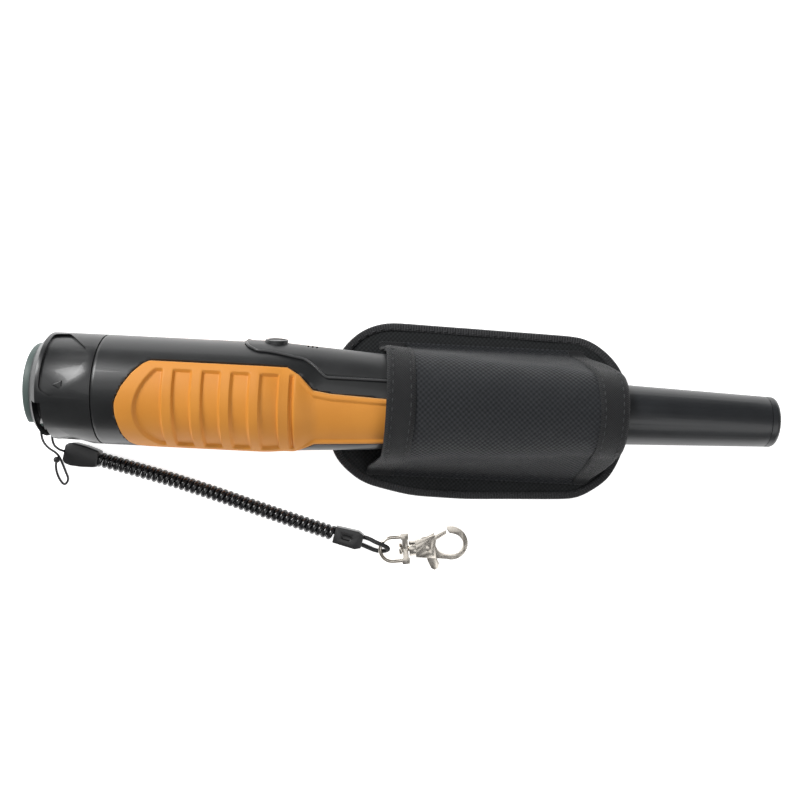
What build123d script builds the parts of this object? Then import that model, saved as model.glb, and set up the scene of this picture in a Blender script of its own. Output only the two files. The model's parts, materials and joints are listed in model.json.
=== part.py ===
from build123d import *
from math import cos, pi, radians, sin
import os

os.makedirs("parts", exist_ok=True)

# ---- driving dimensions, millimetres and degrees ----
probe_roll = 10.0          # the button leans this far from level
handle_radius = 18.0
handle_wall = 2.4
seam_x = -96.5             # joint between tail cap and handle
neck_end_x = 34.0
tip_x = 123.0
tube_radius_back = 11.2
tube_radius_front = 8.3
tube_wall = 1.5
grip_depth = 1.0
grip_gap = 0.05
rib_count = 5
rib_width = 3.9
rib_pitch = 9.1
first_rib_x = -75.0
rib_height = 0.7
panel_rise = 0.6
button_length = 7.4
button_width = 8.6
button_rise = 0.6
button_travel = 0.8
running_gap = 0.15
cap_length = 20.2
cap_chamfer = 3.0
cap_spigot_length = 6.0
cap_fit = 0.06
disc_radius = 14.2
disc_height = 2.5
battery_length = 46.4
battery_width = 26.5
battery_depth = 17.5
board_thickness = 1.6
ferrite_radius = 4.0
ferrite_length = 58.0
bobbin_wall = 0.8
winding_thickness = 1.2
strap_thickness = 1.0
strap_gap = 0.6
back_thickness = 2.0
fabric = 1.2
binding_wrap = 0.3
binding_width = 2.6
pocket_start_x = -9.0
pocket_end_x = 64.0
pocket_middle_y = -1.4
pocket_half_width = 22.6
hem_width = 8.4
hem_thickness = 0.7
string_diameter = 0.8
curl_diameter = 5.4
loop_diameter = 1.5
lanyard_rise = 2.8         # height of the clip's own axis
ring_wire = 1.3
clip_turn = 6.8
clip_x, clip_y = 4.4, -50.0
clip_thickness = 4.6
eye_thickness = 3.4
gate_thickness = 2.2

# ---- frames ----
axis_height = handle_radius  # the tail cap rests on the ground
probe_up = (0, cos(radians(probe_roll)), sin(radians(probe_roll)))
probe = Plane(origin=(0, 0, axis_height), x_dir=(1, 0, 0), z_dir=probe_up)
probe_axis = Axis((0, 0, axis_height), (1, 0, 0))
side = Plane(origin=probe.origin, x_dir=(1, 0, 0), z_dir=-probe.y_dir)  # sketch y is up the probe


def across(x):
    """The plane square to the probe at x: its y runs up the probe."""
    return Plane(origin=(x, 0, axis_height), x_dir=probe.y_dir, z_dir=(1, 0, 0))


def save(piece, label):
    piece.label = label
    export_step(piece, f"parts/{label}.step")


# ---- handle: an oval section that shrinks along the neck ----
neck_sections = [  # x, half height, half width
    (-42.0, handle_radius, handle_radius),
    (-37.0, handle_radius - 0.5, handle_radius - 2.0),
    (-28.0, handle_radius - 1.1, handle_radius - 4.3),
    (-5.0, handle_radius - 2.6, handle_radius - 4.6),
    (15.0, handle_radius - 4.2, handle_radius - 5.1),
    (neck_end_x, handle_radius - 5.8, handle_radius - 5.8),
]


def handle_body(inset):
    """The handle's solid envelope, shrunk by inset all round."""
    with BuildPart() as body:
        with BuildSketch(across(seam_x)):
            Circle(handle_radius - inset)
        extrude(amount=neck_sections[0][0] - seam_x)
        for x, half_height, half_width in neck_sections:
            with BuildSketch(across(x)):
                Ellipse(half_width - inset, half_height - inset)
        loft(ruled=True)
    return body.part


envelope = handle_body(0)
under_skin = handle_body(grip_depth)
cavity = handle_body(handle_wall)
skin = envelope - under_skin


def grip_outline(grow):
    """Side outline of a grip pad, on the probe's upright plane."""
    with BuildSketch(side, mode=Mode.PRIVATE) as outline:
        with BuildLine():
            Polyline((-86, -16.9), (-89.5, -3.2), (-80.5, 12.8), (-36, 12.4), (-27.5, 5.4),
                           (10, 3.4), (10, -10.8), (-27.5, -13.4), (-33, -16.9), close=True)
        make_face()
        fillet(outline.vertices().sort_by(Axis.X)[:3], 3.5)
        offset(amount=grow)
    return outline.sketch


panel_points = [(-51, 0), (-50, 5.6), (-46, 8.2), (-31, 8.2), (-24, 11.4), (14, 10.4)]


def panel_outline(grow):
    """Outline of the control panel, seen from the button side."""
    with BuildSketch(probe, mode=Mode.PRIVATE) as outline:
        with BuildLine():
            Polyline(*panel_points, *[(x, -y) for x, y in reversed(panel_points[1:])], close=True)
        make_face()
        offset(amount=grow)
    return outline.sketch


with BuildPart() as near_prism:
    add(grip_outline(0))
    extrude(amount=40, dir=side.z_dir)
with BuildPart() as far_prism:
    add(grip_outline(0))
    extrude(amount=40, dir=-side.z_dir)
with BuildPart() as panel_prism:
    add(panel_outline(0))
    extrude(amount=40, dir=probe.z_dir)

slot_x = [-30.6, -29.2, -27.8]
with BuildPart() as handle_shell:
    add(envelope)
    add(skin & near_prism.part, mode=Mode.SUBTRACT)
    add(skin & far_prism.part, mode=Mode.SUBTRACT)
    add(skin & panel_prism.part, mode=Mode.SUBTRACT)
    add(cavity, mode=Mode.SUBTRACT)
    with BuildSketch(probe):  # the button's and the speaker's openings
        with Locations((-41, 0)):
            Circle(button_width / 2 + 1.2)
        with Locations((slot_x[1], 0)):
            Circle(4.5)
    extrude(amount=40, mode=Mode.SUBTRACT)
save(handle_shell.part, "handle_shell")

# ---- grips: a rubber pad on each side with five raised ribs ----
grip_skin = envelope - handle_body(grip_depth - grip_gap)
groove_skin = handle_body(-1) - handle_body(rib_height)
groove_width = rib_pitch - rib_width
with BuildPart() as groove_prism:
    with BuildSketch(side):
        for k in range(rib_count - 1):
            with Locations((first_rib_x + rib_width + groove_width / 2 + k * rib_pitch, -2.6)):
                RectangleRounded(groove_width, 24.4, 1.2)
        with Locations((first_rib_x - 2.4, -2.6)):
            Rectangle(4.4, 22.0)
    extrude(amount=40, both=True)
grooves = groove_skin & groove_prism.part
for label, outward in [("grip_near", side.z_dir), ("grip_far", -side.z_dir)]:
    with BuildPart() as grip:
        add(grip_outline(-grip_gap))
        extrude(amount=40, dir=outward)
        add(grip_skin, mode=Mode.INTERSECT)
        add(grooves, mode=Mode.SUBTRACT)
    save(grip.part, label)

# ---- control panel, button and what they work ----
button_top = handle_radius + panel_rise + button_rise
button_x = -41.0
panel_skin = handle_body(-panel_rise) - handle_body(grip_depth - grip_gap)
with BuildPart() as control_panel:
    add(panel_outline(-grip_gap))
    extrude(amount=40, dir=probe.z_dir)
    add(panel_skin, mode=Mode.INTERSECT)
    with BuildSketch(probe):
        with Locations((button_x, 0)):
            Ellipse(button_length / 2 + running_gap, button_width / 2 + running_gap)
        for x in slot_x:
            with Locations((x, 0)):
                SlotOverall(4.6, 0.6, rotation=90)
    extrude(amount=40, mode=Mode.SUBTRACT)
save(control_panel.part, "control_panel")

button_foot = handle_radius - grip_depth - 2.6
with BuildPart() as power_button:
    with BuildSketch(probe.offset(button_foot)):
        with Locations((button_x, 0)):
            Ellipse(button_length / 2 + 0.9, button_width / 2 + 0.9)
    extrude(amount=1.0)
    with BuildSketch(probe.offset(button_foot)):
        with Locations((button_x, 0)):
            Ellipse(button_length / 2, button_width / 2)
    extrude(amount=button_top - button_foot)
    with BuildSketch(probe.offset(button_top)):  # dished top
        with Locations((button_x, 0)):
            Ellipse(button_length / 2 - 0.9, button_width / 2 - 0.9)
    extrude(amount=-0.3, mode=Mode.SUBTRACT)
save(power_button.part, "power_button")

board_top = 11.2
board_start_x, board_end_x = -46.0, -8.0
board_width = 10.0
speaker_radius = 4.2


def block(label, x, y, low, size_x, size_y, height, corner=0.3):
    """A rounded block on the probe's level plane."""
    with BuildPart() as piece:
        with BuildSketch(probe.offset(low)):
            with Locations((x, y)):
                RectangleRounded(size_x, size_y, corner)
        extrude(amount=height)
    save(piece.part, label)
    return piece.part


def turned(label, points):
    """A piece turned about the probe's axis, from its half profile."""
    with BuildPart() as piece:
        with BuildSketch(side):
            with BuildLine():
                Polyline(*points, close=True)
            make_face()
        revolve(axis=probe_axis)
    save(piece.part, label)
    return piece.part


def tube_profile(x0, x1, inner, outer):
    return [(x0, inner), (x1, inner), (x1, outer), (x0, outer)]


# the board lies under the button and the speaker, with the switch in reach of the button's foot
switch_gap = 0.05
switch_height = button_foot - button_travel - board_top - switch_gap
block("tact_switch", button_x, 0, board_top, 6.0, 6.0, switch_height)
screw_x = (-35.7, -9.9)
screw_radius = 0.8
with BuildPart() as circuit_board:
    with BuildSketch(probe.offset(board_top - board_thickness)):
        with Locations(((board_start_x + board_end_x) / 2, 0)):
            RectangleRounded(board_end_x - board_start_x, board_width, 0.5)
        with Locations(*[(x, 0) for x in screw_x]):
            Circle(screw_radius + 0.05, mode=Mode.SUBTRACT)
    extrude(amount=board_thickness)
save(circuit_board.part, "circuit_board")
with BuildPart() as board_parts:
    with BuildSketch(probe.offset(board_top)):
        with Locations((-18.0, 0)):
            with GridLocations(5.0, 5.0, 3, 2):
                Rectangle(3.6, 3.0)
    extrude(amount=1.2)
save(board_parts.part, "board_parts")
with BuildPart() as board_screws:
    with BuildSketch(probe.offset(board_top - 4.0)):
        with Locations(*[(x, 0) for x in screw_x]):
            Circle(screw_radius)
    extrude(amount=4.0)
    with BuildSketch(probe.offset(board_top)):
        with Locations(*[(x, 0) for x in screw_x]):
            Circle(1.4)
    extrude(amount=0.8)
save(board_screws.part, "board_screws")
with BuildPart() as speaker:
    with BuildSketch(probe.offset(board_top + 0.9)):
        with Locations((slot_x[1], 0)):
            Circle(speaker_radius)
    extrude(amount=2.0)
save(speaker.part, "speaker")

# ---- vibration motor, across the probe under the board ----
motor_x = -30.0
with BuildPart() as vibration_motor:
    with BuildSketch(across(motor_x)):
        with Locations((0, -2.5)):
            Circle(3.5)
    extrude(amount=9.0)
    with BuildSketch(across(motor_x + 9.0)):
        with Locations((0, -2.5)):
            Circle(0.5)
    extrude(amount=5.0)
save(vibration_motor.part, "vibration_motor")
with BuildPart() as motor_weight:
    with BuildSketch(across(motor_x + 9.8)):
        with Locations((0, -2.5)):
            Circle(3.0)
            Circle(0.5 + 0.05, mode=Mode.SUBTRACT)
        with Locations((0, -2.5 + 2.4)):
            Rectangle(7.0, 3.0, mode=Mode.SUBTRACT)
    extrude(amount=3.6)
save(motor_weight.part, "motor_weight")

# ---- battery bay ----
battery_end_x = seam_x + cap_spigot_length + 1.4
battery_front_x = battery_end_x + battery_length
with BuildPart() as battery:
    with BuildSketch(across(battery_end_x)):
        RectangleRounded(battery_width, battery_depth, 2.0)
    extrude(amount=battery_length)
    with BuildSketch(across(battery_front_x)):
        with Locations((6.35, 0), (-6.35, 0)):
            Circle(2.9)
    extrude(amount=2.1)
save(battery.part, "battery")
with BuildPart() as battery_snap:
    with BuildSketch(across(battery_front_x + 0.4)):
        RectangleRounded(25.0, 12.6, 2.0)
    extrude(amount=3.2)
    with BuildSketch(across(battery_front_x + 0.4)):
        with Locations((6.35, 0), (-6.35, 0)):
            Circle(2.95)
    extrude(amount=1.75, mode=Mode.SUBTRACT)
save(battery_snap.part, "battery_snap")
snap_front_x = battery_front_x + 3.6
with BuildPart() as battery_leads:
    for offset_y in (-1.0, 1.0):
        with BuildLine() as lead_path:
            FilletPolyline(
                probe.from_local_coords((snap_front_x, offset_y * 2, 5.0)),
                probe.from_local_coords((snap_front_x + 1.6, offset_y * 2, 5.0)),
                probe.from_local_coords((snap_front_x + 1.6, offset_y * 2, board_top - board_thickness)),
                radius=0.8)
        with BuildSketch(across(snap_front_x)) as lead_section:
            with Locations((offset_y * 2, 5.0)):
                Circle(0.5)
        sweep(path=lead_path.wires()[0])
save(battery_leads.part, "battery_leads")

# ---- probe tube, its tip and the coil ----
socket_x = neck_end_x - 10.0
spigot_radius = neck_sections[-1][1] - handle_wall - 0.1
tube_end_x = tip_x - 3.0
turned("probe_tube", [
    (socket_x, spigot_radius - tube_wall), (neck_end_x + 3, spigot_radius - tube_wall),
    (tube_end_x, tube_radius_front - tube_wall), (tube_end_x, tube_radius_front),
    (neck_end_x + 0.1, tube_radius_back), (neck_end_x + 0.1, spigot_radius), (socket_x, spigot_radius)])
with BuildPart() as tip_cap:
    with BuildSketch(side):
        Polygon((tube_end_x - 5, 0), (tip_x, 0), (tip_x, tube_radius_front), (tube_end_x + 0.05, tube_radius_front),
                (tube_end_x + 0.05, tube_radius_front - tube_wall - 0.1),
                (tube_end_x - 5, tube_radius_front - tube_wall - 0.1), align=None)
    revolve(axis=probe_axis)
    fillet(tip_cap.edges().filter_by(GeomType.CIRCLE).sort_by(Axis.X)[-1], 1.6)
save(tip_cap.part, "tip_cap")
coil_x = tube_end_x - 6.0 - ferrite_length
bobbin_radius = ferrite_radius + 0.05 + bobbin_wall
turned("ferrite_rod", tube_profile(coil_x, coil_x + ferrite_length, 0, ferrite_radius))
turned("coil_bobbin", tube_profile(coil_x, coil_x + ferrite_length, ferrite_radius + 0.05, bobbin_radius))
turned("transmit_winding", tube_profile(coil_x + 16, coil_x + ferrite_length - 16,
                                        bobbin_radius, bobbin_radius + winding_thickness))
with BuildPart() as receive_windings:
    with BuildSketch(side):
        with Locations((coil_x + 8, bobbin_radius + winding_thickness / 2),
                       (coil_x + ferrite_length - 8, bobbin_radius + winding_thickness / 2)):
            Rectangle(10, winding_thickness)
    revolve(axis=probe_axis)
save(receive_windings.part, "receive_windings")
lead_top = board_top - board_thickness - 0.45
with BuildPart() as coil_leads:
    for offset_y in (-1.4, 0, 1.4):
        with BuildLine() as coil_path:
            FilletPolyline(
                *[probe.from_local_coords((x, offset_y, up))
                  for x, up in [(board_end_x - 0.6, lead_top), (board_end_x + 6, lead_top), (22.0, 3.0), (coil_x, 3.0)]],
                radius=5.0)
        with BuildSketch(across(board_end_x - 0.6)):
            with Locations((offset_y, lead_top)):
                Circle(0.4)
        sweep(path=coil_path.wires()[0])
save(coil_leads.part, "coil_leads")

# ---- tail cap: three finger scallops and the lanyard's notch ----
cap_end_x = seam_x - cap_length
cap_wall_x = cap_end_x + 6.0
spigot_outer = handle_radius - handle_wall - cap_fit
spigot_inner = spigot_outer - 1.9
post_radius_cap = 8.5  # the post that carries the battery's pad
pad_x = battery_end_x - 3.0
bar_inner = 14.0
bar_width = 1.4
pocket_floor = 12.4
notch_start, notch_end = 17.0, 104.0  # degrees from straight up, towards the lanyard


def wedge(start, end, low_x, high_x, inner, outer):
    """A ring sector about the probe's axis, its angles counted from straight up."""
    with BuildPart() as sector:
        with BuildSketch(Plane(origin=(0, 0, axis_height), x_dir=(1, 0, 0), z_dir=(0, -1, 0))):
            with Locations(((low_x + high_x) / 2, (inner + outer) / 2)):
                Rectangle(high_x - low_x, outer - inner)
        revolve(axis=probe_axis, revolution_arc=end - start)
    return sector.part.rotate(probe_axis, start)


with BuildPart() as scallop:
    with BuildSketch(side) as scallop_outline:
        with BuildLine():
            Polyline((-112.3, 11.6), (-107.8, 12.3), (-100.2, 4.6), (-98.6, 0.4), (-102.5, -6.6), (-108.6, -12.0),
                     (-112.5, -10.1), close=True)
        make_face()
        fillet(scallop_outline.vertices(), 1.5)
    extrude(amount=40)
scallop_ring = wedge(0, 360, cap_end_x - 1, seam_x, handle_radius - 0.9, handle_radius + 4)
scallop_cut = scallop_ring & scallop.part
with BuildPart() as tail_cap:
    with BuildSketch(side):
        with BuildLine():
            Polyline((cap_end_x, 0), (cap_end_x, disc_radius + 0.6), (cap_end_x + cap_chamfer, handle_radius),
                     (seam_x - 0.1, handle_radius), (seam_x - 0.1, spigot_outer),
                     (seam_x + cap_spigot_length, spigot_outer), (seam_x + cap_spigot_length, spigot_inner),
                     (cap_wall_x, spigot_inner), (cap_wall_x, post_radius_cap), (pad_x, post_radius_cap), (pad_x, 0),
                     close=True)
        make_face()
    revolve(axis=probe_axis)
    for k in range(3):
        add(scallop_cut.rotate(probe_axis, -41 + 120 * k), mode=Mode.SUBTRACT)
    add(wedge(notch_start, notch_end, cap_end_x + bar_width, cap_end_x + 4.7, pocket_floor, 20), mode=Mode.SUBTRACT)
    add(wedge(notch_start + 40, notch_end, cap_end_x - 1, cap_end_x + 4.7, pocket_floor, bar_inner), mode=Mode.SUBTRACT)
    add(wedge(0, 360, seam_x + 1.6, seam_x + 3.6, spigot_outer - 1.0, 20), mode=Mode.SUBTRACT)
save(tail_cap.part, "tail_cap")
with BuildPart() as cap_end_disc:
    with BuildSketch(side):
        Polygon((cap_end_x - disc_height, 0), (cap_end_x - disc_height, disc_radius - 0.5),
                (cap_end_x - disc_height + 0.5, disc_radius), (cap_end_x, disc_radius), (cap_end_x, 0), align=None)
    revolve(axis=probe_axis)
    add(wedge(notch_start + 40, notch_end, cap_end_x - 5, cap_end_x + 1, pocket_floor, 20), mode=Mode.SUBTRACT)
save(cap_end_disc.part, "cap_end_disc")
turned("cap_seal", tube_profile(seam_x + 1.7, seam_x + 3.5, spigot_outer - 0.95, spigot_outer + 0.01))
turned("cap_pad", tube_profile(pad_x, battery_end_x - 0.3, 0, post_radius_cap - 0.5))

# ---- holster ----
back_low = strap_thickness + strap_gap
back_top = back_low + back_thickness
back_points = [(-23.5, 15.0), (-20.5, 18.5), (-3.8, 27.0), (66.0, 25.6), (78.5, 10.0), (78.5, -11.0),
               (66.0, -29.3), (23.0, -31.2), (3.6, -30.4), (-12.0, -27.0), (-23.0, -17.0)]


def back_outline(low, inset):
    with BuildSketch(Plane.XY.offset(low), mode=Mode.PRIVATE) as outline:
        with BuildLine():
            Polyline(*back_points, close=True)
        make_face()
        fillet(outline.vertices(), 2.0)
        offset(amount=-inset)
    return outline.sketch


with BuildPart() as holster_back:
    add(back_outline(back_low, 0.6))
    extrude(amount=back_thickness)
save(holster_back.part, "holster_back")
with BuildPart() as binding_core:
    add(back_outline(back_low - binding_wrap, binding_width))
    extrude(amount=back_thickness + 2 * binding_wrap)
    add(back_outline(back_low, 0.6))
    extrude(amount=back_thickness)
with BuildPart() as holster_binding:
    add(back_outline(back_low - binding_wrap, 0))
    extrude(amount=back_thickness + 2 * binding_wrap)
    add(binding_core.part, mode=Mode.SUBTRACT)
save(holster_binding.part, "holster_binding")

arch_stations = [  # x, half height and half width of the room inside
    (pocket_start_x, 15.2, 17.4), (pocket_end_x, 12.4, 12.8)]
arch_angles = (10, 40, 65, 90, 115, 140, 170)


def arch_face(x, room_half_height, room_half_width, grow):
    """The arch over the probe at x: sloping sides under a round top."""
    half_foot = pocket_half_width - 1.5 + grow
    with BuildSketch(Plane(origin=(x, 0, 0), x_dir=(0, 1, 0), z_dir=(1, 0, 0)), mode=Mode.PRIVATE) as section:
        with BuildLine():
            foot_low, foot_high = pocket_middle_y - half_foot, pocket_middle_y + half_foot
            round_top = [((room_half_width + grow) * cos(radians(angle)),
                          axis_height + (room_half_height + grow) * sin(radians(angle))) for angle in arch_angles]
            Polyline((foot_low, back_top), (foot_high, back_top), *round_top, close=True)
        make_face()
    return section.sketch


def arch_shell(x0, x1, inner_grow, outer_grow):
    """A stretch of the fabric arch between two stations."""
    (xa, ha, wa), (xb, hb, wb) = arch_stations

    def at(x, grow):
        share = (x - xa) / (xb - xa)
        return arch_face(x, ha + (hb - ha) * share, wa + (wb - wa) * share, grow)

    with BuildPart() as shell:
        add(at(x0, outer_grow))
        add(at(x1, outer_grow))
        loft(ruled=True)
        add(at(x0 - 0.01, inner_grow))
        add(at(x1 + 0.01, inner_grow))
        loft(ruled=True, mode=Mode.SUBTRACT)
    return shell.part


save(arch_shell(pocket_start_x, pocket_end_x, 0, fabric), "holster_pocket")
save(arch_shell(pocket_start_x, pocket_start_x + hem_width, fabric, fabric + hem_thickness), "mouth_hem")
save(arch_shell(pocket_end_x - hem_width, pocket_end_x, fabric, fabric + hem_thickness), "tip_hem")
strap_x0, strap_x1 = -2.0, 60.0
with BuildPart() as belt_loop:
    with BuildSketch(Plane.XY):
        with Locations(((strap_x0 + strap_x1) / 2, pocket_middle_y)):
            Rectangle(strap_x1 - strap_x0, 38.0)
    extrude(amount=strap_thickness + strap_gap)
    with BuildSketch(Plane.XY.offset(strap_thickness)):
        with Locations(((strap_x0 + strap_x1) / 2, pocket_middle_y)):
            Rectangle(strap_x1 - strap_x0 - 12.0, 38.0)
    extrude(amount=strap_gap, mode=Mode.SUBTRACT)
save(belt_loop.part, "belt_loop")

# ---- lanyard: string, sleeves, curly cord and loop ----
def corner_radii(points):
    """0.45 of the shorter run over the tangent of half the turn, at each corner."""
    radii = []
    for before, here, after in zip(points, points[1:], points[2:]):
        run_in, run_out = Vector(*here) - Vector(*before), Vector(*after) - Vector(*here)
        half_turn = radians(run_in.get_angle(run_out)) / 2
        radii.append(0.45 * min(run_in.length, run_out.length) * cos(half_turn) / sin(half_turn))
    return radii


def cord(label, points, diameter):
    """A plain tube along the route's straight runs and tangent arcs."""
    radii = corner_radii(points)
    with BuildPart() as piece:
        with BuildLine() as path:
            FilletPolyline(*points, radius=radii)
        route = path.wires()[0]
        with BuildSketch(Plane(origin=points[0], z_dir=route % 0)):
            Circle(diameter / 2)
        sweep(path=route)
    print(label, "length", round(route.length, 1), "radii", [round(r, 1) for r in radii])
    print(label, "volume over section times length",
          round(piece.part.volume / (route.length * pi * diameter ** 2 / 4), 4))
    save(piece.part, label)


sleeve_height = 2.75
string_sleeve = Plane(origin=(-114.4, -22.5, sleeve_height), x_dir=(11.9, -1.8, 0), z_dir=(0, 0, 1))
string_sleeve_length = 12.0
with BuildPart() as sleeve_string_end:
    with BuildSketch(string_sleeve.offset(-2.6)):
        Polygon((0, 2.6), (1.0, 3.6), (3.0, 4.0), (7.0, 3.7), (10.6, 3.1), (string_sleeve_length, 2.7),
                (string_sleeve_length, -2.7), (10.6, -3.1), (7.0, -3.7), (3.0, -4.0), (1.0, -3.6), (0, -2.6),
                align=None)
    extrude(amount=5.2)
save(sleeve_string_end.part, "sleeve_string_end")
curl_height = curl_diameter / 2 + 0.1
curl_points = [(-102.4, -24.4, curl_height), (-83.0, -28.6, curl_height), (-62.0, -34.2, curl_height),
               (-41.0, -40.4, curl_height), (-20.4, -46.0, curl_height)]
cord("curly_cord", curl_points, curl_diameter)
clip_sleeve = Plane(origin=(-20.3, -46.1, sleeve_height), x_dir=(9.8, -2.1, 0), z_dir=(0, 0, 1))
with BuildPart() as sleeve_clip_end:
    with BuildSketch(clip_sleeve.offset(-2.4)):
        Polygon((0, 2.8), (8.0, 3.1), (10.0, 2.2), (10.0, -2.2), (8.0, -3.1), (0, -2.8), align=None)
    extrude(amount=4.8)
    with BuildSketch(clip_sleeve.offset(2.4)):
        with Locations((4.4, 0)):
            SlotOverall(3.4, 1.5)
    extrude(amount=-0.7, mode=Mode.SUBTRACT)
save(sleeve_clip_end.part, "sleeve_clip_end")
string_x = cap_end_x + 3.0
string_out_x = cap_end_x - 0.8
string_points = [
    (-114.2, -22.3, 3.2), (-114.9, -21.6, 7.0), (-114.2, -20.6, 12.0), (string_x, -19.4, 16.5),
    (string_x, -17.0, 18.6), (string_x, -13.2, 18.8), (string_out_x, -13.2, 18.6), (string_out_x, -16.6, 17.8),
    (-118.0, -19.0, 14.0), (-118.4, -21.2, 8.0), (-117.6, -23.0, 2.4), (-116.6, -25.6, 0.5), (-115.0, -29.4, 0.5),
    (-113.6, -32.2, 0.5), (-115.2, -34.4, 0.5), (-117.4, -31.6, 0.5), (-118.6, -28.0, 0.5), (-118.2, -26.2, 0.9)]
cord("lanyard_string", string_points, string_diameter)
with BuildPart() as string_knot:
    with Locations((-117.9, -25.4, 1.5)):
        Sphere(1.1)
save(string_knot.part, "string_knot")

loop_points = [(-13.8, -46.3, 2.7), (-11.2, -46.6, 2.9), (-8.6, -46.9, 3.4), (-5.6, -48.2, 4.5), (-2.6, -49.2, 4.2),
               (-1.2, -50.4, 2.9), (-2.6, -51.4, 1.2), (-5.6, -51.6, 0.8), (-9.0, -50.2, 1.4), (-11.4, -49.2, 2.4),
               (-14.2, -48.6, 2.7)]
cord("clip_loop_cord", loop_points, loop_diameter)

# ---- trigger clip, laid out along its own axis ----
clip = Plane(origin=(clip_x, clip_y, lanyard_rise), x_dir=(cos(radians(clip_turn)), sin(radians(clip_turn)), 0),
             z_dir=(0, 0, 1))
post_radius = 1.0
with BuildPart() as swivel_ring:
    with BuildLine(clip) as ring_path:
        ring_top = Line((-0.2, 4.1), (-4.6, 4.1))
        TangentArc(ring_top @ 1, (-4.6, -4.1), tangent=ring_top % 1)
        Line((-4.6, -4.1), (-0.2, -4.1))
    ring_route = ring_path.wires()[0]
    with BuildSketch(Plane(origin=ring_route @ 0, z_dir=ring_route % 0)):
        Circle(ring_wire / 2)
    sweep(path=ring_route)
    with BuildSketch(clip.offset(-1.0)):
        Rectangle(1.9, 8.0)
        with Locations((0, 4.2), (0, -4.2)):
            Rectangle(2.6, 2.0)
    extrude(amount=2.0)
    with BuildSketch(Plane(origin=clip.origin, x_dir=clip.y_dir, z_dir=clip.x_dir)):
        Circle(post_radius + 0.06)
    extrude(amount=4, both=True, mode=Mode.SUBTRACT)
save(swivel_ring.part, "swivel_ring")
eye_centre = (15.9, 1.05)
pin_place = (7.8, -0.2)
with BuildPart() as clip_body:
    with BuildSketch(clip.offset(-clip_thickness / 2)):
        Polygon((3.5, 2.8), (10.2, 3.9), (10.2, -3.7), (3.5, -2.9), align=None)
    extrude(amount=clip_thickness)
    with BuildSketch(clip.offset(-eye_thickness / 2)):
        with Locations(eye_centre):
            Circle(5.65)
        Polygon((8.0, 3.6), (14.2, 6.4), (14.2, -4.3), (8.0, -3.5), align=None)
        with Locations((15.2, 0.75)):
            Ellipse(4.75, 3.75, mode=Mode.SUBTRACT)
    extrude(amount=eye_thickness)
    with BuildSketch(clip.offset(-gate_thickness / 2 - 0.15)):  # slot for the gate
        Polygon((5.2, 2.2), (9.0, 9.0), (12.6, 9.0), (12.6, 2.0), (10.6, -1.5), (12.4, -9.0), (6.4, -9.0),
                (5.2, -2.0), align=None)
    extrude(amount=gate_thickness + 0.3, mode=Mode.SUBTRACT)
    with BuildSketch(clip.offset(-eye_thickness)):
        Polygon((10.3, 2.2), (10.3, 9.0), (14.75, 9.0), (14.75, 5.75), (15.1, 5.1), (15.5, 4.6), (15.8, 4.0),
                (14.6, 3.0), align=None)  # clear of the gate's nose as it swings in
    extrude(amount=2 * eye_thickness, mode=Mode.SUBTRACT)
    with BuildSketch(clip.offset(-clip_thickness)):
        with Locations(pin_place):
            Circle(0.85)
    extrude(amount=2 * clip_thickness, mode=Mode.SUBTRACT)
    with BuildSketch(Plane(origin=clip.origin + clip.x_dir * 1.3, x_dir=clip.y_dir, z_dir=clip.x_dir)):
        Circle(2.6)
    extrude(amount=2.3)
save(clip_body.part, "clip_body")
with BuildPart() as swivel_post:
    with BuildSketch(Plane(origin=clip.origin - clip.x_dir * 1.2, x_dir=clip.y_dir, z_dir=clip.x_dir)):
        Circle(post_radius)
    extrude(amount=2.5)
    with BuildSketch(Plane(origin=clip.origin - clip.x_dir * 2.2, x_dir=clip.y_dir, z_dir=clip.x_dir)):
        Circle(2.0)
    extrude(amount=1.1)
save(swivel_post.part, "swivel_post")
with BuildPart() as gate_pin:
    with BuildSketch(clip.offset(-clip_thickness / 2)):
        with Locations(pin_place):
            Circle(0.85)
    extrude(amount=clip_thickness)
save(gate_pin.part, "gate_pin")
with BuildPart() as gate:
    with BuildSketch(clip.offset(-gate_thickness / 2)):
        Polygon((6.4, -1.6), (6.2, 1.2), (8.6, 2.9), (10.4, 3.9), (14.5, 5.5), (14.5, 4.2), (10.6, 2.3), (9.4, -1.4),
                align=None)
        Polygon((6.6, -1.2), (9.4, -1.2), (11.2, -5.6), (10.8, -7.2), (9.6, -7.9), (8.4, -7.2), (7.4, -4.6),
                align=None)
        with Locations(pin_place):
            Circle(0.85 + 0.05, mode=Mode.SUBTRACT)
    extrude(amount=gate_thickness)
save(gate.part, "gate")
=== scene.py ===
import bpy
import json
from math import acos, atan2, cos, degrees, pi, radians, sin, sqrt
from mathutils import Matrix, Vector, noise

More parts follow.
